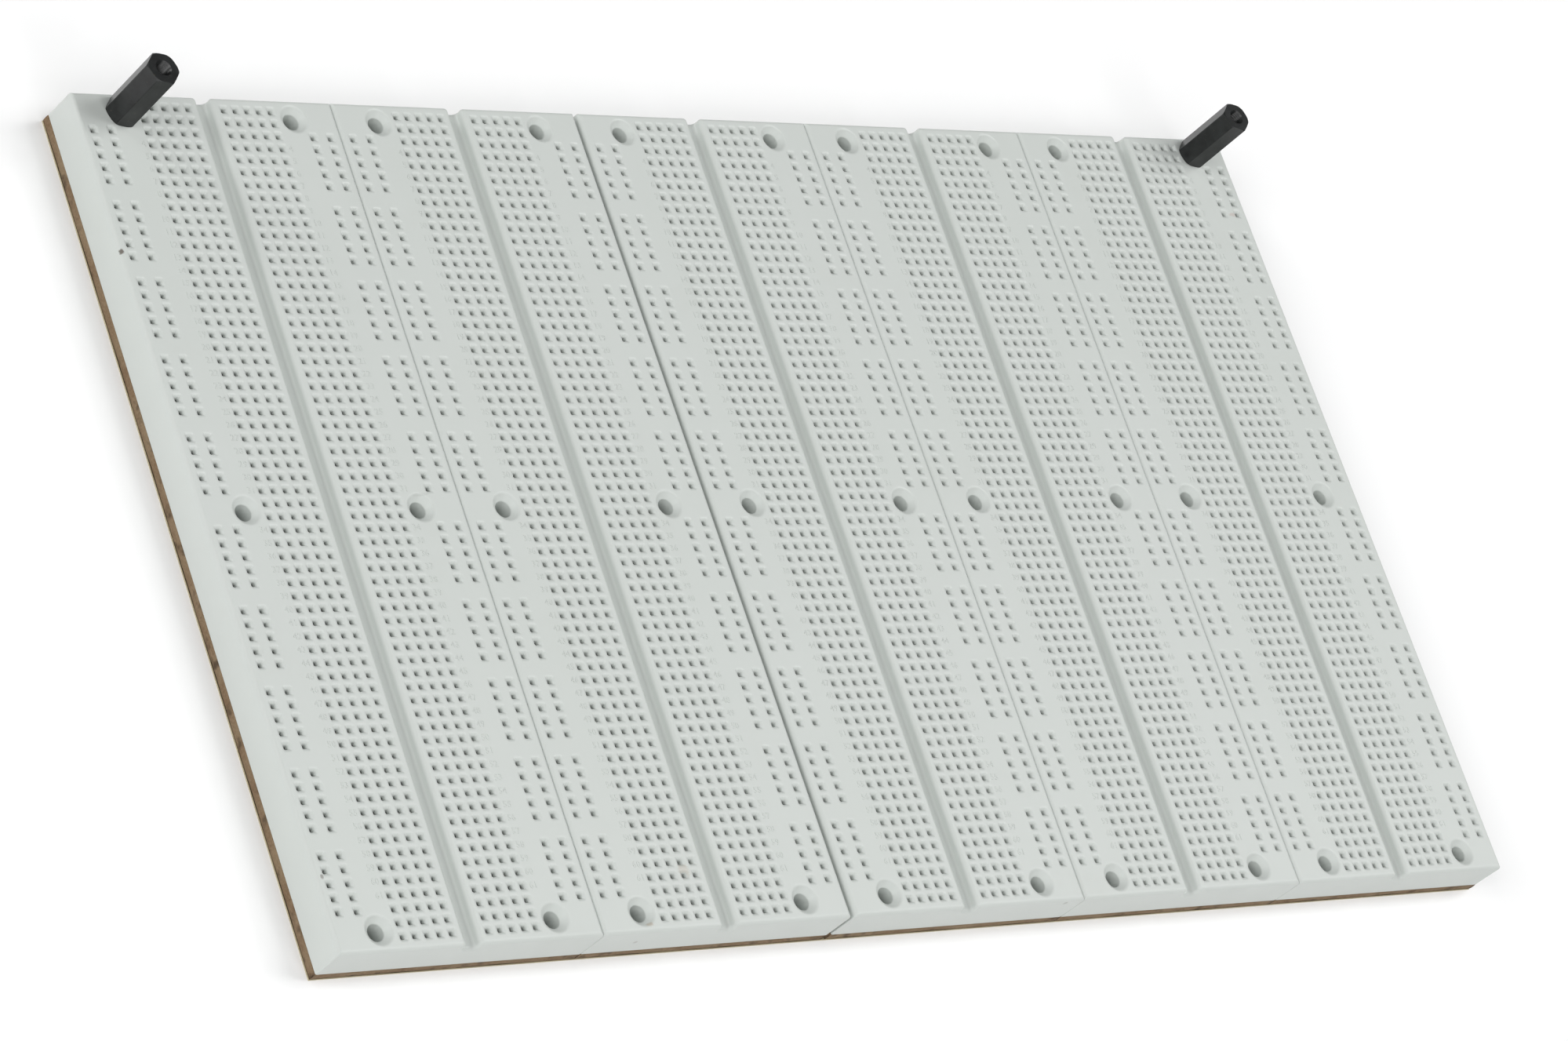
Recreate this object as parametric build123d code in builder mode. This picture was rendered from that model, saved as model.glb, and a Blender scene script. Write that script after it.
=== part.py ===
"""Solderless breadboard panel: five 840-tie-point modules side by side, with two hex standoffs.

Units are millimetres. The origin is at the middle of the underside, +X runs across the modules,
+Y towards the back edge and +Z up. The two standoffs stand on the outermost back mounting holes.
"""

import os

from build123d import *

os.makedirs("parts", exist_ok=True)

# ---- the panel ----
pitch = 2.54  # spacing of the tie points
module_count = 5
module_width = 55.8  # 22 pitches, less a little moulding clearance
module_length = 165.1  # 65 pitches
open_seam = 0.9  # the second and third modules stand this far apart
modules_before_seam = 2
panel_width = module_count * module_width + open_seam

# ---- layers, from the table up ----
release_thickness = 0.25
foam_thickness = 2.0
body_height = 7.9
foam_z = release_thickness
body_z = foam_z + foam_thickness
top_z = body_z + body_height

# ---- tie points ----
row_count = 64
terminal_columns = (1.5, 2.5, 3.5, 4.5, 5.5)  # pitches from the centre line
bus_columns = (8.5, 10)
bus_half_groups = 5  # groups of five contacts in each half of a bus column
bus_group_pitch = 6
bus_first_row = 1.5  # pitches from the middle of the module
tie_mouth = 1.65  # square funnel, at the top face
tie_throat = 0.85  # and where it opens into its slot
skin = 1.3  # moulded thickness over the contact slots

# ---- contact slots and spring contacts ----
slot_width = 1.9
slot_margin = 0.95  # beyond the end tie points
contact_clearance = 0.08
contact_metal = 0.2
contact_height = 6.0
contact_nip_height = 4.7
contact_nip_gap = 0.1  # between the leaves where they grip a lead
contact_mouth_gap = 1.0

# ---- centre groove and edges ----
groove_width = 2.9
groove_depth = 2.1
groove_corner = 0.7
top_edge_radius = 0.8

# ---- mounting holes ----
mount_x = 18.5  # each side of a module's centre line
mount_y = 78.6  # the outer rows; the third row is on the middle
mount_hole_radius = 1.6
countersink_radius = 3.1
head_recess_radius = 3.05  # on the underside, for a screw head
head_recess_depth = 0.6
backing_hole_radius = 3.4

# ---- standoffs and their screws, M3 ----
standoff_flats = 5.8
standoff_length = 15.0
standoff_chamfer = 0.35
thread_minor_radius = 1.25  # threads are drawn plain, at their minor diameter
thread_lead_in = 0.3
thread_depth = 7.0  # blind, from each end
thread_engagement = 6.0
screw_shank_radius = 1.45
screw_thread_radius = 1.15
screw_head_radius = 2.75
screw_head_height = 2.0
screw_slot_width = 0.8
screw_slot_depth = 0.9
screw_edge = 0.3  # head rounding and tip chamfer
shank_gap = 0.3  # the plain shank ends this far under the standoff
left_standoff_turn = -9  # degrees from a corner on +X
right_standoff_turn = -13


def module_x(number):
    """X of the centre line of a module, counted from 1 at the left."""
    left = -panel_width / 2 + (number - 0.5) * module_width
    return left + (open_seam if number > modules_before_seam else 0)


row_y = [(row - (row_count - 1) / 2) * pitch for row in range(row_count)]
bus_steps = [bus_first_row + group * bus_group_pitch + contact
             for group in range(bus_half_groups) for contact in range(5)]
bus_y = [side * step * pitch for side in (-1, 1) for step in bus_steps]
bus_half_length = (max(bus_steps) - min(bus_steps)) * pitch
bus_half_centre = (max(bus_steps) + min(bus_steps)) / 2 * pitch
terminal_centre = pitch * sum(terminal_columns) / len(terminal_columns)
terminal_length = (max(terminal_columns) - min(terminal_columns)) * pitch

tie_points = [(side * column * pitch, y) for side in (-1, 1) for column in terminal_columns for y in row_y]
tie_points += [(side * column * pitch, y) for side in (-1, 1) for column in bus_columns for y in bus_y]
mount_points = [(side * mount_x, y) for side in (-1, 1) for y in (-mount_y, 0, mount_y)]
terminal_slots = [(side * terminal_centre, y) for side in (-1, 1) for y in row_y]
bus_slots = [(side * column * pitch, half * bus_half_centre)
             for side in (-1, 1) for column in bus_columns for half in (-1, 1)]
left_post_x = module_x(1) - mount_x
right_post_x = module_x(module_count) + mount_x


# ---- module body ----
with BuildPart() as module_blank:
    with BuildSketch(Plane.XY.offset(body_z)):
        Rectangle(module_width, module_length)
    extrude(amount=body_height)
    fillet(module_blank.faces().sort_by(Axis.Z)[-1].edges(), radius=top_edge_radius)
    # slots for the terminal clips and bus strips, open at the underside
    with BuildSketch(Plane.XY.offset(body_z)):
        with Locations(*terminal_slots):
            Rectangle(terminal_length + 2 * slot_margin, slot_width)
        with Locations(*bus_slots):
            Rectangle(slot_width, bus_half_length + 2 * slot_margin)
    extrude(amount=body_height - skin, mode=Mode.SUBTRACT)
    # centre groove, from the front wall to the back wall
    with BuildSketch(Plane.XZ.offset(-module_length)) as groove_profile:
        with Locations((0, top_z)):
            Rectangle(groove_width, 2 * groove_depth)
        fillet(groove_profile.vertices().group_by(Axis.Z)[0], radius=groove_corner)
    extrude(amount=2 * module_length, mode=Mode.SUBTRACT)
    # countersunk mounting holes, recessed below for a screw head
    with Locations(Plane.XY.offset(top_z)):
        with Locations(*mount_points):
            CounterSinkHole(mount_hole_radius, countersink_radius, counter_sink_angle=90)
    with BuildSketch(Plane.XY.offset(body_z)):
        with Locations(*mount_points):
            Circle(head_recess_radius)
    extrude(amount=head_recess_depth, mode=Mode.SUBTRACT)

with BuildPart() as tie_point:
    with BuildSketch(Plane.XY.offset(top_z - skin)):
        Rectangle(tie_throat, tie_throat)
    with BuildSketch(Plane.XY.offset(top_z)):
        Rectangle(tie_mouth, tie_mouth)
    loft()

# one compound of every funnel is cut out in a single step
funnel = tie_point.part.solid()
funnels = Compound(children=[Pos(x, y) * funnel for x, y in tie_points])
module_body = module_blank.part - funnels


# ---- foam pad under one module, and the release sheet under all of them ----
with BuildPart() as foam:
    with BuildSketch(Plane.XY.offset(foam_z)):
        Rectangle(module_width, module_length)
        with Locations(*mount_points):
            Circle(backing_hole_radius, mode=Mode.SUBTRACT)
    extrude(amount=foam_thickness)

with BuildPart() as release_sheet:
    with BuildSketch():
        Rectangle(panel_width, module_length)
        for number in range(1, module_count + 1):
            with Locations(*[(module_x(number) + x, y) for x, y in mount_points]):
                Circle(backing_hole_radius, mode=Mode.SUBTRACT)
    extrude(amount=release_thickness)


# ---- spring contacts: a folded channel whose two leaves grip a lead ----
contact_half_width = slot_width / 2 - contact_clearance
nip_x = contact_nip_gap / 2 + contact_metal
mouth_x = contact_mouth_gap / 2 + contact_metal
with BuildSketch() as contact_section:
    with BuildLine():
        Polyline(
            (0, 0), (contact_half_width, 0), (contact_half_width, contact_metal),
            (nip_x, contact_nip_height), (mouth_x, contact_height),
            (mouth_x - contact_metal, contact_height), (nip_x - contact_metal, contact_nip_height),
            (contact_half_width - contact_metal, contact_metal), (0, contact_metal), close=True,
        )
    make_face()
    mirror(about=Plane.YZ)

terminal_clip_length = terminal_length + 2 * slot_margin - 2 * contact_clearance
with BuildPart() as terminal_clip:
    with BuildSketch(Plane((-terminal_clip_length / 2, 0, body_z), x_dir=(0, 1, 0), z_dir=(1, 0, 0))):
        add(contact_section.sketch)
    extrude(amount=terminal_clip_length)

bus_strip_length = bus_half_length + 2 * slot_margin - 2 * contact_clearance
with BuildPart() as bus_strip:
    with BuildSketch(Plane((0, bus_strip_length / 2, body_z), x_dir=(1, 0, 0), z_dir=(0, -1, 0))):
        add(contact_section.sketch)
    extrude(amount=bus_strip_length)


# ---- M3 hex standoff and the slotted cheese-head screw under it ----
with BuildPart() as standoff:
    with BuildSketch(Plane.XY.offset(top_z)):
        RegularPolygon(standoff_flats / 2, 6, major_radius=False)
    extrude(amount=standoff_length)
    chamfer(standoff.edges().filter_by(GeomType.LINE).filter_by(Axis.Z, reverse=True),
            length=standoff_chamfer)
    for thread_start in (top_z, top_z + standoff_length - thread_depth):
        with BuildSketch(Plane.XY.offset(thread_start)):
            Circle(thread_minor_radius)
        extrude(amount=thread_depth, mode=Mode.SUBTRACT)
    thread_rims = standoff.edges().filter_by(GeomType.CIRCLE).group_by(Axis.Z)
    chamfer(thread_rims[0] + thread_rims[-1], length=thread_lead_in)

screw_head_top = body_z + head_recess_depth
with BuildPart() as screw:
    with BuildSketch(Plane.XY.offset(screw_head_top - screw_head_height)):
        Circle(screw_head_radius)
    extrude(amount=screw_head_height)
    fillet(screw.edges().group_by(Axis.Z)[0], radius=screw_edge)
    with BuildSketch(Plane.XY.offset(screw_head_top)):
        Circle(screw_shank_radius)
    extrude(amount=top_z - screw_head_top - shank_gap)
    with BuildSketch(Plane.XY.offset(top_z - shank_gap)):
        Circle(screw_thread_radius)
    extrude(amount=thread_engagement + shank_gap)
    chamfer(screw.edges().group_by(Axis.Z)[-1], length=screw_edge)
    with BuildSketch(Plane.XY.offset(screw_head_top - screw_head_height)):
        Rectangle(2 * screw_head_radius + screw_slot_width, screw_slot_width)
    extrude(amount=screw_slot_depth, mode=Mode.SUBTRACT)


# ---- place, label and write every piece ----
def save(shape, label):
    shape.label = label
    export_step(shape, f"parts/{label}.step", write_pcurves=False)


def group(solid, places):
    """Copies of one solid, kept as separate solids of one node."""
    return Compound(children=[Pos(*place) * solid for place in places])


for number in range(1, module_count + 1):
    here = Pos(module_x(number), 0)
    save(here * module_body, f"module_body_{number}")
    save(here * foam.part, f"foam_pad_{number}")
    for side, name in ((-1, "left"), (1, "right")):
        clip_places = [place for place in terminal_slots if place[0] * side > 0]
        strip_places = [place for place in bus_slots if place[0] * side > 0]
        save(here * group(terminal_clip.part.solid(), clip_places), f"terminal_clips_{name}_{number}")
        save(here * group(bus_strip.part.solid(), strip_places), f"bus_strips_{name}_{number}")

save(release_sheet.part, "release_sheet")
for name, x, turn in (("left", left_post_x, left_standoff_turn),
                      ("right", right_post_x, right_standoff_turn)):
    save(Pos(x, mount_y) * Rot(0, 0, turn) * standoff.part, f"standoff_{name}")
    save(Pos(x, mount_y) * screw.part, f"screw_{name}")
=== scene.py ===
"""Looks of the solderless breadboard panel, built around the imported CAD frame.

Shapes are worked out in millimetres in the panel's own frame, X across the modules, Y towards the back
edge and Z up, and become metres when their mesh is made.
"""

import math

import bpy
from mathutils import Matrix, Vector
from mathutils.geometry import delaunay_2d_cdt


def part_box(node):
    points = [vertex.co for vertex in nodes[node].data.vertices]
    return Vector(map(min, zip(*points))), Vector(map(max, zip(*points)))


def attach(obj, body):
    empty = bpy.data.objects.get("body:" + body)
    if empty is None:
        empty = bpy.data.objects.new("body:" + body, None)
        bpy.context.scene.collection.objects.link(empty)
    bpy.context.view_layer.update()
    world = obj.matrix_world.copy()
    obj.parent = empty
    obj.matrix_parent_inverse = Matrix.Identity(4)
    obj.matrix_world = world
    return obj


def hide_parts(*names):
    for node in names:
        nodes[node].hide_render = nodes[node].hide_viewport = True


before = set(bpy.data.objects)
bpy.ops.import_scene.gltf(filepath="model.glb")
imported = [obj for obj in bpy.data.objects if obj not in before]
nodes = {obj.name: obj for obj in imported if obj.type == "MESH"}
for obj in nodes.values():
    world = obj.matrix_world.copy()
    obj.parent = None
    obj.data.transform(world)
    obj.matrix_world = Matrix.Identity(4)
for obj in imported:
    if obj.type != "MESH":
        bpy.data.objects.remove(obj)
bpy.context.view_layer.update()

MM = 0.001
scene = bpy.context.scene


# ---------------------------------------------------------------- camera
camera_data = bpy.data.cameras.new("camera")
camera_data.sensor_width = 36
camera_data.lens = 133.16
camera_data.clip_end = 20
camera = bpy.data.objects.new("camera", camera_data)
scene.collection.objects.link(camera)
camera_at = Vector((-700.13, -373.47, 729.38)) * MM
looks_at = Vector((-12.05, -3.73, 10.15)) * MM
camera_roll = math.radians(50.625)
camera.matrix_world = (
    Matrix.Translation(camera_at)
    @ (looks_at - camera_at).to_track_quat("-Z", "Y").to_matrix().to_4x4()
    @ Matrix.Rotation(camera_roll, 4, "Z")
)
scene.camera = camera


# ---------------------------------------------------------------- the panel's sizes, in millimetres
PITCH = 2.54
MODULES = 5
body_low, body_high = (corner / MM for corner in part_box("module_body_1"))
TOP = body_high.z
BASE = body_low.z
WIDTH = body_high.x - body_low.x
LENGTH = body_high.y - body_low.y
HALF_W, HALF_L = WIDTH / 2, LENGTH / 2
CENTRES = [sum(corner.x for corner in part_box(f"module_body_{k}")) / 2 / MM for k in range(1, MODULES + 1)]

ROWS = 64
TERMINAL_COLUMNS = (1.5, 2.5, 3.5, 4.5, 5.5)
BUS_COLUMNS = (8.5, 10)
row_y = [(row - (ROWS - 1) / 2) * PITCH for row in range(ROWS)]
bus_steps = [1.5 + 6 * group + contact for group in range(5) for contact in range(5)]
bus_y = [side * step * PITCH for side in (-1, 1) for step in bus_steps]

EDGE = 0.8  # rounding of the top edges and of the groove's lips
CORNER = 0.3  # rounding of the upright corners
FOOT = 0.1  # rounding of the bottom edge
SKIN = 1.3  # moulded thickness over the contact slots
THROAT, BELL = 0.84, 0.74  # width of a tie point's throat, and radius of its bell mouth
THROAT_CORNER = 0.12
SLOT, SLOT_MARGIN = 1.9, 0.95
GROOVE, GROOVE_DEPTH, GROOVE_CORNER = 2.9, 2.1, 0.7
MOUNT_X, MOUNT_Y = 18.5, 78.6
MOUNT_R, SINK_R, RECESS_R, RECESS_DEPTH, BACKING_R = 1.6, 3.1, 3.05, 0.6, 3.4
THROAT_EASE = 0.12  # rounding where a countersink meets its hole


# ---------------------------------------------------------------- mesh making
class Surface:
    """Faces with a normal at each of their corners, welded into one mesh."""

    def __init__(self):
        self.points, self.known, self.faces, self.normals = [], {}, [], []

    def at(self, point):
        key = tuple(round(value, 3) for value in point)
        if key not in self.known:
            self.known[key] = len(self.points)
            self.points.append(point)
        return self.known[key]

    def face(self, corners, normals):
        """One face. It is turned over if it doesn't agree with its normals."""
        used = []
        for corner, normal in zip(map(self.at, corners), normals):
            if all(corner != other for other, _ in used):
                used.append((corner, normal))
        if len(used) < 3:
            return
        ring = [self.points[corner] for corner, _ in used]
        facing = [0.0, 0.0, 0.0]
        for a, b in zip(ring, ring[1:] + ring[:1]):
            facing[0] += (a[1] - b[1]) * (a[2] + b[2])
            facing[1] += (a[2] - b[2]) * (a[0] + b[0])
            facing[2] += (a[0] - b[0]) * (a[1] + b[1])
        mean = [sum(normal[axis] for _, normal in used) for axis in range(3)]
        if sum(f * m for f, m in zip(facing, mean)) < -1e-9:
            used.reverse()
        self.faces.append([corner for corner, _ in used])
        self.normals.extend(normal for _, normal in used)

    def band(self, low, high, low_normals, high_normals, closed=True):
        """Quads between two rows of points of the same number."""
        count = len(low)
        for i in range(count if closed else count - 1):
            j = (i + 1) % count
            self.face(
                (low[i], low[j], high[j], high[i]),
                (low_normals[i], low_normals[j], high_normals[j], high_normals[i]),
            )

    def flat(self, loops, z, up):
        """A level face at height z, with the later loops, all convex, as holes in the first."""
        points, edges, owners = [], [], []
        for number, loop in enumerate(loops):
            first = len(points)
            points += [Vector((x, y)) for x, y in loop]
            owners += [number] * len(loop)
            edges += [(first + i, first + (i + 1) % len(loop)) for i in range(len(loop))]
        _, _, triangles, *_ = delaunay_2d_cdt(points, edges, [], 0, 1e-6, False)
        for triangle in triangles:
            on = {owners[i] for i in triangle}
            if len(on) > 1 or on == {0}:
                self.face([(points[i].x, points[i].y, z) for i in triangle], [(0, 0, up)] * 3)

    def mesh(self, name, offset=(0, 0, 0)):
        made = bpy.data.meshes.new(name)
        made.from_pydata([[(a + b) * MM for a, b in zip(p, offset)] for p in self.points], [], self.faces)
        made.shade_smooth()
        made.normals_split_custom_set(self.normals)
        return made


def unit(x, y, z):
    length = math.sqrt(x * x + y * y + z * z)
    return (x / length, y / length, z / length)


def square(cx, cy, half, corner, z):
    """Eight points round a square with cut corners, and the way out of the side each is on."""
    points, outward = [], []
    for turn in range(4):
        c, s = round(math.cos(turn * math.pi / 2)), round(math.sin(turn * math.pi / 2))
        for along in (corner - half, half - corner):
            points.append((cx + c * half - s * along, cy + s * half + c * along, z))
            outward.append((c, s))
    return points, outward


def circle(cx, cy, radius, z, steps):
    angles = [2 * math.pi * i / steps for i in range(steps)]
    outward = [(math.cos(a), math.sin(a)) for a in angles]
    return [(cx + radius * c, cy + radius * s, z) for c, s in outward], outward


def leaning(outward, steep, sign=-1):
    """Normals that lean from straight up at steep 0 to level at steep 90 degrees."""
    level, up = math.sin(math.radians(steep)), math.cos(math.radians(steep))
    return [unit(sign * x * level, sign * y * level, up) for x, y in outward]


def flat_loop(points):
    return [(x, y) for x, y, _ in points]


def link(name, mesh, body, material, replaced=()):
    """Makes a piece from a mesh, riding on a body and standing for CAD nodes."""
    piece = bpy.data.objects.new(name, mesh)
    scene.collection.objects.link(piece)
    mesh.materials.append(material)
    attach(piece, body)
    if replaced:
        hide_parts(*replaced)
    return piece


# ---------------------------------------------------------------- module body
def tie_point_wall(surface, cx, cy):
    """Bell mouth and straight throat of one tie point. Returns its outlines above and below."""
    steeps = (0, 18, 36, 54, 72, 90)
    rings = []
    for steep in steeps:
        wide, deep = 1 - math.sin(math.radians(steep)), 1 - math.cos(math.radians(steep))
        corner = THROAT_CORNER + 0.3 * wide
        rings.append(square(cx, cy, THROAT / 2 + BELL * wide, corner, TOP - BELL * deep))
    rings.append(square(cx, cy, THROAT / 2, THROAT_CORNER, TOP - SKIN))
    for (upper, outward), (lower, _), a, b in zip(rings, rings[1:], steeps, steeps[1:] + (90,)):
        surface.band(upper, lower, leaning(outward, a), leaning(outward, b))
    return flat_loop(rings[0][0]), flat_loop(rings[-1][0])


def mount_hole_wall(surface, cx, cy, steps=48):
    """Rounded countersink, hole and screw-head recess. Returns its outlines above and below."""
    recess = BASE + RECESS_DEPTH
    rings = []
    for steep in (0, 12, 24, 36, 45):
        level, up = math.sin(math.radians(steep)), math.cos(math.radians(steep))
        rings.append((SINK_R - EDGE * level, TOP - EDGE * (1 - up), steep))
    cone_radius, cone_z, _ = rings[-1]
    cone_end = cone_z - (cone_radius - MOUNT_R)
    rings += [
        (MOUNT_R + THROAT_EASE, cone_end + THROAT_EASE, 45),
        (MOUNT_R + 0.3 * THROAT_EASE, cone_end, 68),
        (MOUNT_R, cone_end - THROAT_EASE, 90),
        (MOUNT_R, recess, 90),
    ]
    drawn = [(*circle(cx, cy, radius, z, steps), steep) for radius, z, steep in rings]
    for (upper, outward, a), (lower, _, b) in zip(drawn, drawn[1:]):
        surface.band(upper, lower, leaning(outward, a), leaning(outward, b))
    inner = drawn[-1][0]
    outer, outward = circle(cx, cy, RECESS_R, recess, steps)
    foot, _ = circle(cx, cy, RECESS_R, BASE, steps)
    down = [(0, 0, -1)] * steps
    surface.band(inner, outer, down, down)
    surface.band(outer, foot, leaning(outward, 90), leaning(outward, 90))
    return flat_loop(drawn[0][0]), flat_loop(foot)


def slot_wall(surface, cx, cy, size_x, size_y, throats):
    """A contact slot under its throats, open at the underside."""
    x, y = size_x / 2, size_y / 2
    outline = [(cx - x, cy - y), (cx + x, cy - y), (cx + x, cy + y), (cx - x, cy + y)]
    surface.flat([outline] + throats, TOP - SKIN, -1)
    for i, way in enumerate(((0, 1, 0), (-1, 0, 0), (0, -1, 0), (1, 0, 0))):
        a, b = outline[i], outline[(i + 1) % 4]
        surface.face([(*a, BASE), (*b, BASE), (*b, TOP - SKIN), (*a, TOP - SKIN)], [way] * 4)
    return outline


def groove_profile(spread):
    """Across the groove where its end has spread it: points (x, z) and normals, from left to right."""
    lip, corner = EDGE - spread, GROOVE_CORNER + spread
    half = GROOVE / 2 + spread
    floor = TOP - GROOVE_DEPTH - spread
    left = []
    for step in range(7):
        level, up = math.sin(math.radians(15 * step)), math.cos(math.radians(15 * step))
        left.append((-half - lip * (1 - level), TOP - EDGE + lip * up, level, up))
    for step in range(6):
        level, up = math.sin(math.radians(90 - 18 * step)), math.cos(math.radians(90 - 18 * step))
        left.append((-half + corner * (1 - level), floor + corner * (1 - up), level, up))
    return left + [(-x, z, -nx, nz) for x, z, nx, nz in reversed(left)]


def outline_ring(inset, z):
    """The module's outline, inset by some amount, as four sides and the arcs between them."""
    radius = max(CORNER - inset, 0)
    x, y = HALF_W - inset, HALF_L - inset
    arcs = []
    for sx, sy, start in ((1, -1, -90), (1, 1, 0), (-1, 1, 90), (-1, -1, 180)):
        centre = (sx * (x - radius), sy * (y - radius))
        arc = []
        for step in range(4):
            a = math.radians(start + 30 * step)
            arc.append((centre[0] + radius * math.cos(a), centre[1] + radius * math.sin(a), z))
        arcs.append(arc)
    return arcs


def module_surface():
    surface = Surface()
    lip_x = GROOVE / 2 + EDGE
    top_holes, floor_holes = {-1: [], 1: []}, []

    throats = {}
    places = [(side * column * PITCH, y) for side in (-1, 1) for column in TERMINAL_COLUMNS for y in row_y]
    places += [(side * column * PITCH, y) for side in (-1, 1) for column in BUS_COLUMNS for y in bus_y]
    for x, y in places:
        mouth, throat = tie_point_wall(surface, x, y)
        top_holes[1 if x > 0 else -1].append(mouth)
        throats[round(x, 2), round(y, 2)] = throat
    for side in (-1, 1):
        for y in (-MOUNT_Y, 0, MOUNT_Y):
            rim, foot = mount_hole_wall(surface, side * MOUNT_X, y)
            top_holes[side].append(rim)
            floor_holes.append(foot)

    # the slots that the throats open into
    span = (TERMINAL_COLUMNS[-1] - TERMINAL_COLUMNS[0]) * PITCH + 2 * SLOT_MARGIN
    middle = sum(TERMINAL_COLUMNS) / len(TERMINAL_COLUMNS) * PITCH
    for side in (-1, 1):
        for y in row_y:
            own = [throats[round(side * column * PITCH, 2), round(y, 2)] for column in TERMINAL_COLUMNS]
            floor_holes.append(slot_wall(surface, side * middle, y, span, SLOT, own))
    reach = (bus_steps[-1] - bus_steps[0]) * PITCH + 2 * SLOT_MARGIN
    middle = (bus_steps[-1] + bus_steps[0]) / 2 * PITCH
    for side in (-1, 1):
        for column in BUS_COLUMNS:
            x = side * column * PITCH
            for half in (-1, 1):
                own = [throats[round(x, 2), round(half * step * PITCH, 2)] for step in bus_steps]
                floor_holes.append(slot_wall(surface, x, half * middle, SLOT, reach, own))

    # the top face, left and right of the groove
    for side in (-1, 1):
        near, far = side * lip_x, side * (HALF_W - EDGE)
        y = HALF_L - EDGE
        surface.flat([[(near, -y), (far, -y), (far, y), (near, y)]] + top_holes[side], TOP, 1)

    # side walls, with the rounded top edge; the two ends are cut through by the groove
    levels = [(FOOT, BASE, 90), (0, BASE + FOOT, 90)]
    levels += [(EDGE * (1 - math.sin(math.radians(t))), TOP - EDGE * (1 - math.cos(math.radians(t))), t)
               for t in (90, 75, 60, 45, 30, 15, 0)]
    rings = [outline_ring(inset, z) for inset, z, _ in levels]
    ways = ((0, -1), (1, 0), (0, 1), (-1, 0))
    for k in range(len(levels) - 1):
        steep_a, steep_b = levels[k][2], levels[k + 1][2]
        for c in range(4):
            around = [math.radians(90 * c - 90 + 30 * step) for step in range(4)]
            outward = [(math.cos(a), math.sin(a)) for a in around]
            surface.band(rings[k][c], rings[k + 1][c], leaning(outward, steep_a, 1),
                         leaning(outward, steep_b, 1), False)
        for s, way in enumerate(ways):
            ends = [rings[k][s - 1][-1], rings[k][s][0], rings[k + 1][s][0], rings[k + 1][s - 1][-1]]
            lean = [leaning([way], steep, 1)[0] for steep in (steep_a, steep_a, steep_b, steep_b)]
            if s in (1, 3) or k == 0:
                surface.face(ends, lean)
            elif k > 1:
                for low, high in ((ends[0], ends[3]), (ends[1], ends[2])):
                    x = math.copysign(lip_x, low[0])
                    corners = [low, (x, *low[1:]), (x, *high[1:]), high]
                    surface.face(corners, [lean[0], lean[0], lean[2], lean[2]])
            else:
                notch = [(x, ends[0][1], z) for x, z, _, _ in groove_profile(EDGE)]
                around = ends[:3] + (notch[::-1] if ends[2][0] > 0 else notch) + ends[3:]
                surface.face(around, [lean[0]] * len(around))

    # the groove, rounded over where it runs out through the end walls
    rows = []
    for end in (-1, 1):
        part = []
        for inset, z, steep in levels[2:]:
            level, up = math.sin(math.radians(steep)), math.cos(math.radians(steep))
            profile = groove_profile(TOP - z)
            part.append(([(x, end * (HALF_L - inset), deep) for x, deep, _, _ in profile],
                         [unit(nx * up, end * level, nz * up) for _, _, nx, nz in profile]))
        rows += part if end < 0 else reversed(part)
    for (points_a, normals_a), (points_b, normals_b) in zip(rows, rows[1:]):
        surface.band(points_a, points_b, normals_a, normals_b, False)

    # the underside
    foot = [point for arc in rings[0] for point in flat_loop(arc)]
    surface.flat([foot] + floor_holes, BASE, -1)
    return surface


def add_numerals(surface):
    """Small raised row numbers on the outer side of each terminal block."""
    height, raised, sunk = 1.2, 0.07, 0.03
    left_start, right_start = -17.1, 15.3  # of two-digit numbers
    glyphs = {}
    for digit in "0123456789":
        text = bpy.data.curves.new("glyph", "FONT")
        text.body = digit
        text.resolution_u = 2
        text.size = 1
        thing = bpy.data.objects.new("glyph", text)
        scene.collection.objects.link(thing)
        flat = bpy.data.meshes.new_from_object(thing)
        points = [vertex.co.copy() for vertex in flat.vertices]
        faces = [tuple(polygon.vertices) for polygon in flat.polygons]
        sides = {}
        for face in faces:
            for a, b in zip(face, face[1:] + face[:1]):
                if (b, a) in sides:
                    del sides[b, a]
                else:
                    sides[a, b] = face
        glyphs[digit] = (points, faces, list(sides), max(p.x for p in points), max(p.y for p in points))
        bpy.data.objects.remove(thing)
        bpy.data.curves.remove(text)
        bpy.data.meshes.remove(flat)
    size = height / glyphs["8"][4]
    step = glyphs["8"][3] * size * 1.12
    for side, start in ((-1, left_start), (1, right_start)):
        for row, y in enumerate(row_y):
            if min(abs(y - mount_y) for mount_y in (-MOUNT_Y, 0, MOUNT_Y)) < SINK_R + height / 2:
                continue
            label = str(ROWS - row)
            for place, digit in enumerate(label):
                points, faces, sides, _, _ = glyphs[digit]
                x0 = start + (2 - len(label) + place if side < 0 else place) * step
                spots = [(x0 + p.x * size, y - height / 2 + p.y * size) for p in points]
                for z, up in ((TOP + raised, 1), (TOP - sunk, -1)):
                    for face in faces:
                        surface.face([(*spots[i], z) for i in face[::up]], [(0, 0, up)] * len(face))
                for a, b in sides:
                    (xa, ya), (xb, yb) = spots[a], spots[b]
                    if (xa, ya) != (xb, yb):
                        way = unit(yb - ya, xa - xb, 0)
                        corners = [(xa, ya, TOP - sunk), (xb, yb, TOP - sunk),
                                   (xb, yb, TOP + raised), (xa, ya, TOP + raised)]
                        surface.face(corners, [way] * 4)


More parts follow.
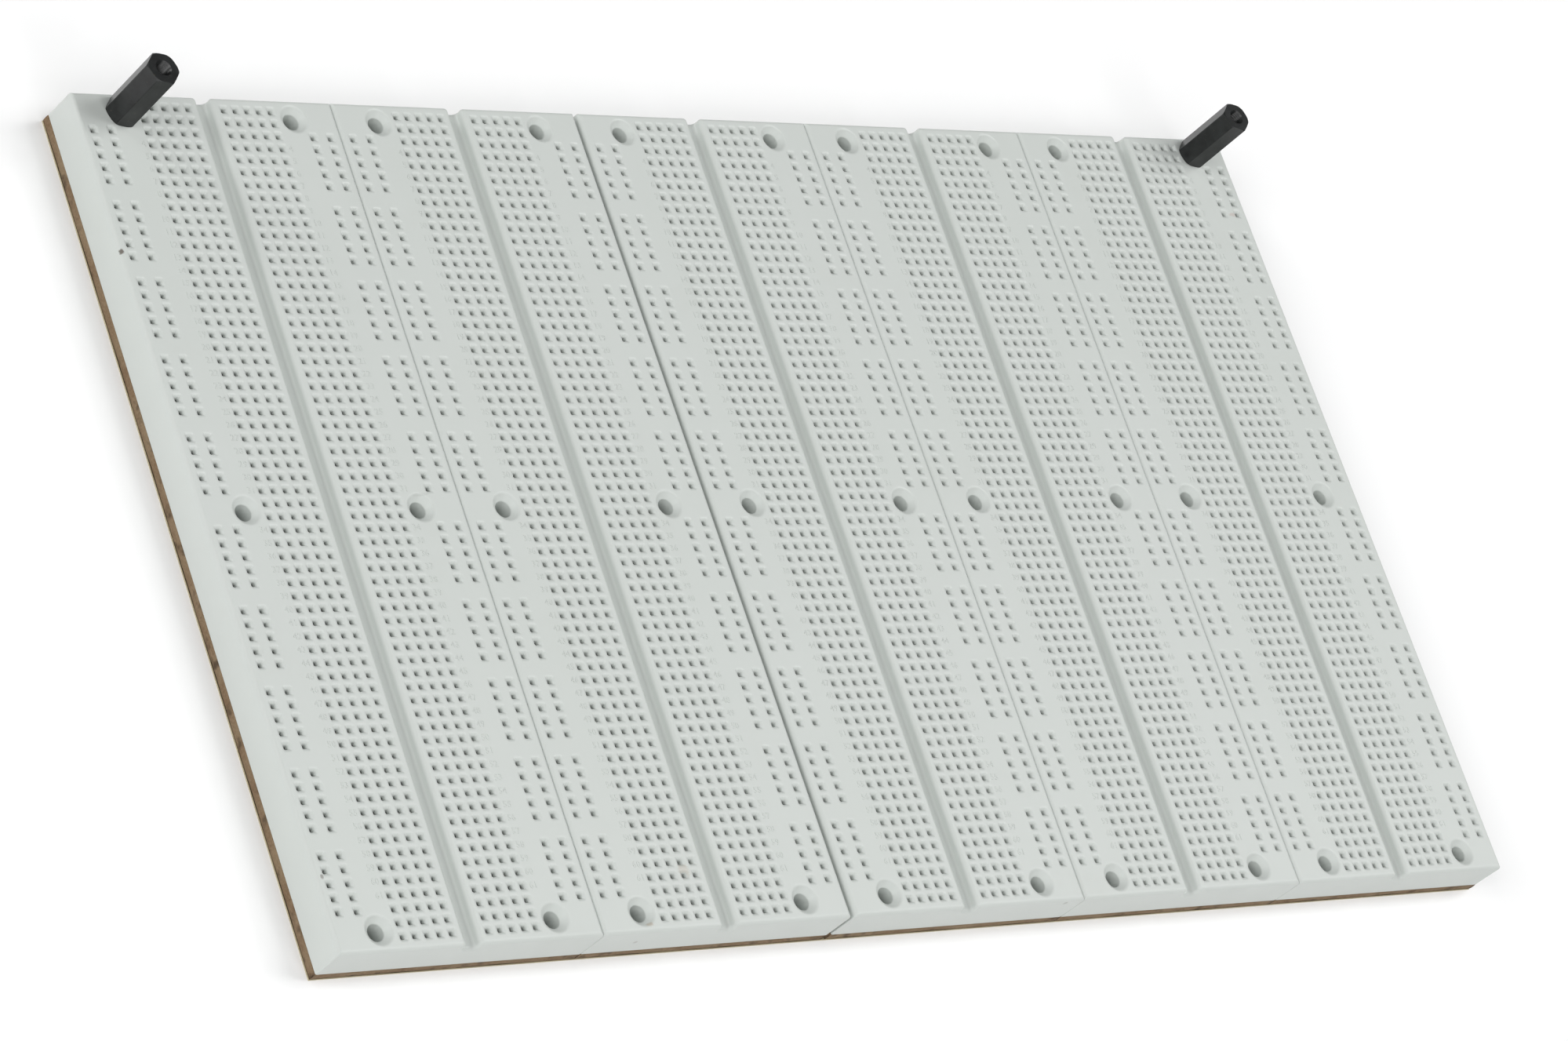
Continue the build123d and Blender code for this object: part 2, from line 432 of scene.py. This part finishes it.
# ---------------------------------------------------------------- foam pads
def foam_outline(number, inset, z, level):
    """The cut edge of a pad, which wanders in by up to about 0.2 mm, differently at each level."""
    x, y = HALF_W - inset, HALF_L - inset
    step = 1.6
    corners = [(-x, -y), (x, -y), (x, y), (-x, y)]
    points, outward = [], []
    for s in range(4):
        (xa, ya), (xb, yb) = corners[s], corners[(s + 1) % 4]
        length = math.hypot(xb - xa, yb - ya)
        along = ((xb - xa) / length, (yb - ya) / length)
        out = (along[1], -along[0])
        count = round(length / step)
        for i in range(count):
            far = length * i / count
            edge = min(far, length - far, 4) / 4
            wave = math.sin(far * 0.31 + number * 2.1 + s)
            wave += math.sin(far * 0.83 + number * 4.7 + level * 1.9)
            wander = (0.07 + 0.035 * wave) * edge
            points.append((xa + along[0] * far - out[0] * wander, ya + along[1] * far - out[1] * wander, z))
            outward.append(out)
    return points, outward


def foam_surface(number, low, high):
    """A pad with cut edges that belly out a little, and holes round the mounting holes."""
    surface = Surface()
    cuts = ((0.1, 0, 40), (0.02, 0.12, 75), (0, 0.5, 90), (0.02, 0.88, 105), (0.1, 1, 140))
    rings = [foam_outline(number, inset, low + (high - low) * part, level)
             for level, (inset, part, _) in enumerate(cuts)]
    for (a, outward), (b, _), (_, _, lean_a), (_, _, lean_b) in zip(rings, rings[1:], cuts, cuts[1:]):
        surface.band(a, b, leaning(outward, 180 - lean_a, 1), leaning(outward, 180 - lean_b, 1))
    upper, lower = [flat_loop(rings[-1][0])], [flat_loop(rings[0][0])]
    for side in (-1, 1):
        for y in (-MOUNT_Y, 0, MOUNT_Y):
            top_ring, outward = circle(side * MOUNT_X, y, BACKING_R, high, 32)
            foot_ring, _ = circle(side * MOUNT_X, y, BACKING_R, low, 32)
            surface.band(top_ring, foot_ring, leaning(outward, 90), leaning(outward, 90))
            upper.append(flat_loop(top_ring))
            lower.append(flat_loop(foot_ring))
    surface.flat(upper, high, 1)
    surface.flat(lower, low, -1)
    return surface


# ---------------------------------------------------------------- standoffs
def hexagon(apothem, rounding, turn):
    """A hexagon about the origin with rounded corners: its points, and the way out at each."""
    reach = (apothem - rounding) / math.cos(math.radians(30))
    points, outward = [], []
    for corner in range(6):
        middle = turn + 60 * corner
        centre = (reach * math.cos(math.radians(middle)), reach * math.sin(math.radians(middle)))
        for step in range(5):
            a = math.radians(middle - 30 + 15 * step)
            points.append((centre[0] + rounding * math.cos(a), centre[1] + rounding * math.sin(a)))
            outward.append((math.cos(a), math.sin(a)))
        way = outward[-1]
        side = reach * math.cos(math.radians(30)) + rounding
        for part in (-2, -1, 0, 1, 2):
            along = part / 6 * reach
            points.append((side * way[0] - along * way[1], side * way[1] + along * way[0]))
            outward.append(way)
    return points, outward


def thread_wall(surface, cx, cy, low, high, root, crest, sign, steps=30):
    """A right-hand M3 thread. The sign is -1 in a hole and 1 on a screw."""
    pitch = 0.5
    quarter = pitch / 4
    radii = (root, (root + crest) / 2, crest, (root + crest) / 2)
    turns = math.ceil((high - low) / pitch) + 1
    for row in range(-4, 4 * turns):
        for i in range(steps):
            corners = []
            for k, j in ((row, i), (row, i + 1), (row + 1, i + 1), (row + 1, i)):
                a = 2 * math.pi * j / steps
                z = min(max(low + k * quarter + pitch * j / steps, low), high)
                corners.append((cx + radii[k % 4] * math.cos(a), cy + radii[k % 4] * math.sin(a), z))
            if max(c[2] for c in corners) - min(c[2] for c in corners) > 1e-4:
                a = 2 * math.pi * (i + 0.5) / steps
                slant = (radii[(row + 1) % 4] - radii[row % 4]) / quarter
                way = unit(sign * math.cos(a), sign * math.sin(a), -sign * slant)
                surface.face(corners, [way] * 4)


def standoff_surface(cx, cy, low, high, turn):
    """A hex standoff whose ends are turned to a cone, which trims the corners, and threaded."""
    surface = Surface()
    apothem, rounding, end_radius, end_lean = 2.9, 0.28, 3.0, 42
    minor, major, depth, lead, lead_depth, last_turn = 1.25, 1.48, 7.0, 1.6, 0.3, 0.4
    outline, outward = hexagon(apothem, rounding, turn)
    rims = []
    for z, way in ((low, 1), (high, -1)):
        end, rim, radial = [], [], []
        for x, y in outline:
            reach = math.hypot(x, y)
            radial.append((x / reach, y / reach))
            turned = min(reach, end_radius)
            end.append((cx + x / reach * turned, cy + y / reach * turned, z))
            rise = (reach - turned) * math.tan(math.radians(end_lean))
            rim.append((cx + x, cy + y, z + way * rise))
        rims.append(rim)
        cone = [(x, y, -way * up) for x, y, up in leaning(radial, end_lean, 1)]
        surface.band(end, rim, cone, cone)
        mouth, out = circle(cx, cy, lead, z, 30)
        surface.flat([flat_loop(end), flat_loop(mouth)], z, -way)
        inner, _ = circle(cx, cy, minor, z + way * lead_depth, 30)
        cone = [(x, y, -way * up) for x, y, up in leaning(out, 49)]
        surface.band(mouth, inner, cone, cone)
        bottom = z + way * depth
        thread_low, thread_high = sorted((z + way * lead_depth, bottom - way * last_turn))
        thread_wall(surface, cx, cy, thread_low, thread_high, major, minor, -1)
        wall, _ = circle(cx, cy, minor, bottom - way * last_turn, 30)
        foot, _ = circle(cx, cy, minor, bottom, 30)
        surface.band(wall, foot, leaning(out, 90), leaning(out, 90))
        surface.face(foot, [(0, 0, -way)] * len(foot))
    surface.band(*rims, leaning(outward, 90, 1), leaning(outward, 90, 1))
    return surface


# ---------------------------------------------------------------- materials
class Shader:
    """A material's node tree, with short names for the nodes used here."""

    def __init__(self, name):
        self.material = bpy.data.materials.new(name)
        self.material.use_nodes = True
        self.tree = self.material.node_tree
        self.bsdf = self.tree.nodes["Principled BSDF"]
        self.place = self.add("ShaderNodeTexCoord").outputs["Object"]

    def add(self, kind, **settings):
        node = self.tree.nodes.new(kind)
        for key, value in settings.items():
            setattr(node, key, value)
        return node

    def wire(self, value, socket):
        if isinstance(value, bpy.types.NodeSocket):
            self.tree.links.new(value, socket)
        else:
            socket.default_value = value

    def noise(self, size_mm, detail=3.0, rough=0.5, place=None):
        """Noise from 0 to 1 whose features are about size_mm across."""
        node = self.add("ShaderNodeTexNoise")
        node.inputs["Scale"].default_value = 1 / (size_mm * MM)
        node.inputs["Detail"].default_value = detail
        node.inputs["Roughness"].default_value = rough
        self.wire(place or self.place, node.inputs["Vector"])
        return node.outputs["Fac"]

    def math(self, operation, a, b=0.0, clamp=False):
        node = self.add("ShaderNodeMath", operation=operation, use_clamp=clamp)
        self.wire(a, node.inputs[0])
        self.wire(b, node.inputs[1])
        return node.outputs[0]

    def ramp(self, value, low, high, from_low=0.0, from_high=1.0):
        node = self.add("ShaderNodeMapRange")
        self.wire(value, node.inputs["Value"])
        limits = {"From Min": from_low, "From Max": from_high, "To Min": low, "To Max": high}
        for name, number in limits.items():
            node.inputs[name].default_value = number
        return node.outputs["Result"]

    def mix(self, factor, a, b, blend="MIX"):
        node = self.add("ShaderNodeMix", data_type="RGBA", blend_type=blend)
        self.wire(factor, node.inputs["Factor"])
        for value, socket in ((a, node.inputs[6]), (b, node.inputs[7])):
            self.wire(value if isinstance(value, bpy.types.NodeSocket) else (*value, 1), socket)
        return node.outputs[2]

    def stretched(self, x, y, z):
        node = self.add("ShaderNodeVectorMath", operation="MULTIPLY")
        self.wire(self.place, node.inputs[0])
        node.inputs[1].default_value = (x, y, z)
        return node.outputs[0]

    def bump(self, height, depth_mm, over=None):
        node = self.add("ShaderNodeBump")
        node.inputs["Strength"].default_value = 1
        node.inputs["Distance"].default_value = depth_mm * MM
        self.wire(height, node.inputs["Height"])
        if over:
            self.wire(over, node.inputs["Normal"])
        return node.outputs["Normal"]

    def finish(self, colour, roughness, normal=None, **constants):
        self.wire(colour, self.bsdf.inputs["Base Color"])
        self.wire(roughness, self.bsdf.inputs["Roughness"])
        if normal:
            self.wire(normal, self.bsdf.inputs["Normal"])
        for name, value in constants.items():
            self.bsdf.inputs[name.replace("_", " ")].default_value = value
        return self.material


def spot(shader, where, size, ragged=0.5):
    """1 inside a ragged spot at where, in mm, of a size in mm along each axis, and 0 outside it."""
    away = shader.add("ShaderNodeVectorMath", operation="SUBTRACT")
    shader.wire(shader.place, away.inputs[0])
    away.inputs[1].default_value = [value * MM for value in where]
    scaled = shader.add("ShaderNodeVectorMath", operation="DIVIDE")
    shader.wire(away.outputs[0], scaled.inputs[0])
    scaled.inputs[1].default_value = [value * MM for value in size]
    length = shader.add("ShaderNodeVectorMath", operation="LENGTH")
    shader.wire(scaled.outputs[0], length.inputs[0])
    wobble = shader.ramp(shader.noise(min(size) * 0.8, 2), -ragged, ragged)
    return shader.ramp(shader.math("ADD", length.outputs["Value"], wobble), 1, 0, 0.6, 1.1)


def body_plastic():
    s = Shader("body_plastic")
    cloudy = s.noise(55, 2)
    mottle = s.noise(5, 4)
    colour = s.mix(cloudy, (0.562, 0.595, 0.566), (0.590, 0.616, 0.596))
    colour = s.mix(s.ramp(mottle, 0, 0.5), colour, (0.548, 0.580, 0.552))
    patches = s.ramp(s.noise(16, 5, 0.6), 0, 1, 0.55, 0.75)
    grime = s.math("MULTIPLY", patches, s.ramp(s.noise(0.8, 2), 0.2, 1), True)
    colour = s.mix(s.math("MULTIPLY", grime, 0.12), colour, (0.42, 0.43, 0.38))
    # small wear marks: place, size, tint and strength
    marks = [
        ((-139.6, 50.5, 10.0), (0.5, 0.55, 0.5), (0.12, 0.10, 0.08), 0.9),
        ((-138.6, -68.4, 10.1), (0.35, 0.5, 0.4), (0.25, 0.24, 0.22), 0.8),
        ((-92.9, 2.6, 10.1), (2.1, 0.35, 0.4), (0.40, 0.42, 0.40), 0.35),
        ((-62.6, -71.6, 10.1), (1.3, 1.7, 0.4), (0.40, 0.30, 0.20), 0.28),
        ((-73.9, -81.0, 10.1), (0.9, 0.6, 0.5), (0.38, 0.27, 0.16), 0.4),
        ((-74.6, -82.5, 5.9), (0.5, 0.4, 0.5), (0.30, 0.30, 0.27), 0.5),
        ((24.2, -82.5, 8.9), (0.6, 0.4, 0.5), (0.30, 0.30, 0.27), 0.5),
        ((136.0, 64.6, 10.1), (1.2, 0.5, 0.4), (0.45, 0.30, 0.25), 0.35),
    ]
    for where, size, tint, strength in marks:
        colour = s.mix(s.math("MULTIPLY", spot(s, where, size), strength), colour, tint)
    grain = s.bump(s.noise(0.35, 3, 0.6), 0.006)
    wavy = s.bump(s.noise(9, 2), 0.05, grain)
    roughness = s.ramp(s.noise(7, 4), 0.36, 0.5)
    return s.finish(colour, roughness, wavy, IOR=1.5)


def foam():
    s = Shader("foam")
    cells = s.noise(0.45, 4, 0.65)
    along = s.noise(7, 3)
    colour = s.mix(s.ramp(along, 0, 1, 0.3, 0.7), (0.230, 0.165, 0.098), (0.165, 0.098, 0.052))
    colour = s.mix(s.ramp(cells, 0, 0.5, 0.35, 0.75), colour, (0.33, 0.25, 0.16))
    stains = s.ramp(s.noise(2.6, 3), 0, 0.75, 0.56, 0.72)
    colour = s.mix(stains, colour, (0.045, 0.030, 0.018))
    return s.finish(colour, s.ramp(cells, 0.75, 0.95), s.bump(cells, 0.12), Specular_IOR_Level=0.25)


def release_paper():
    s = Shader("release_paper")
    fibres = s.noise(0.5, 4, 0.6, s.stretched(1, 0.35, 1))
    colour = s.mix(s.noise(12, 3), (0.50, 0.43, 0.27), (0.42, 0.36, 0.22))
    colour = s.mix(s.ramp(fibres, 0, 0.35), colour, (0.62, 0.57, 0.42))
    return s.finish(colour, s.ramp(fibres, 0.38, 0.55), s.bump(fibres, 0.01))


def contact_metal():
    s = Shader("contact_metal")
    drawn = s.noise(0.35, 3, 0.6, s.stretched(1, 1, 0.08))
    colour = s.mix(s.noise(6, 3), (0.66, 0.62, 0.55), (0.58, 0.53, 0.44))
    return s.finish(colour, s.ramp(drawn, 0.22, 0.42), s.bump(drawn, 0.004), Metallic=1.0)


def black_nylon():
    s = Shader("black_nylon")
    streaks = s.noise(0.9, 3, 0.6, s.stretched(1, 1, 0.12))
    worn = s.noise(3, 4, 0.6)
    colour = s.mix(s.ramp(worn, 0, 1, 0.35, 0.75), (0.006, 0.0065, 0.0065), (0.018, 0.020, 0.020))
    colour = s.mix(s.ramp(s.noise(0.6, 2), 0, 0.5, 0.68, 0.8), colour, (0.10, 0.085, 0.05))
    roughness = s.ramp(streaks, 0.24, 0.38)
    return s.finish(colour, roughness, s.bump(streaks, 0.015), IOR=1.53, Specular_IOR_Level=0.4)


# ---------------------------------------------------------------- pieces
plastic = body_plastic()
one_module = module_surface()
add_numerals(one_module)
for k, centre in enumerate(CENTRES, 1):
    name = f"breadboard_module_{k}"
    link(name, one_module.mesh(name, (centre, 0, 0)), "panel", plastic, [f"module_body_{k}"])

nylon = black_nylon()
for side, turn in (("left", -9), ("right", -13)):
    low, high = (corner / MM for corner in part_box(f"standoff_{side}"))
    made = standoff_surface((low.x + high.x) / 2, (low.y + high.y) / 2, low.z, high.z, turn)
    name = f"hex_standoff_{side}"
    link(name, made.mesh(name), f"standoff_{side}", nylon, [f"standoff_{side}"])

sponge = foam()
for k, centre in enumerate(CENTRES, 1):
    low, high = (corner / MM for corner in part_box(f"foam_pad_{k}"))
    made = foam_surface(k, low.z, high.z)
    name = f"cut_foam_pad_{k}"
    link(name, made.mesh(name, (centre, 0, 0)), "panel", sponge, [f"foam_pad_{k}"])

metal = contact_metal()
kept = {"release_sheet": release_paper(), "terminal_clips": metal, "bus_strips": metal, "screw": nylon}
for name, node in nodes.items():
    for start, material in kept.items():
        if name.startswith(start):
            node.data.materials.clear()
            node.data.materials.append(material)


# ---------------------------------------------------------------- floor and light
floor_mesh = bpy.data.meshes.new("floor")
reach = 6
corners = [(-reach, -reach, 0), (reach, -reach, 0), (reach, reach, 0), (-reach, reach, 0)]
floor_mesh.from_pydata(corners, [], [(0, 1, 2, 3)])
floor = bpy.data.objects.new("floor", floor_mesh)
floor.location.z = -0.02 * MM
scene.collection.objects.link(floor)
paint = Shader("floor")
floor_mesh.materials.append(paint.finish((0.98, 0.98, 0.98, 1), 0.9, None, Specular_IOR_Level=0.1))

world = bpy.data.worlds.new("studio")
scene.world = world
world.use_nodes = True
world.node_tree.nodes["Background"].inputs["Color"].default_value = (0.98, 0.99, 1, 1)
world.node_tree.nodes["Background"].inputs["Strength"].default_value = 0.1

LIGHT_DISTANCE = 2.4


def area_light(name, around, up, size, watts):
    """A square soft light aimed at the panel, so many degrees round from +X and up from level."""
    around, up = math.radians(around), math.radians(up)
    way = Vector((math.cos(around) * math.cos(up), math.sin(around) * math.cos(up), math.sin(up)))
    data = bpy.data.lights.new(name, "AREA")
    data.size = size
    data.energy = watts
    lamp = bpy.data.objects.new(name, data)
    scene.collection.objects.link(lamp)
    lamp.location = way * LIGHT_DISTANCE
    lamp.rotation_mode = "QUATERNION"
    lamp.rotation_quaternion = (-way).to_track_quat("-Z", "Y")


area_light("top_light", 0, 62, 1.3, 23)
area_light("left_light", 180, 38, 1.3, 20.5)
area_light("front_left_light", 225, 38, 1.3, 13)
area_light("front_light", 270, 38, 1.3, 14.5)
area_light("right_light", 0, 38, 1.3, 11)
area_light("low_back_light", 135, 14, 0.9, 14.5)

scene.view_settings.view_transform = "Standard"
scene.view_settings.look = "None"
scene.view_settings.exposure = 0
scene.view_settings.gamma = 1
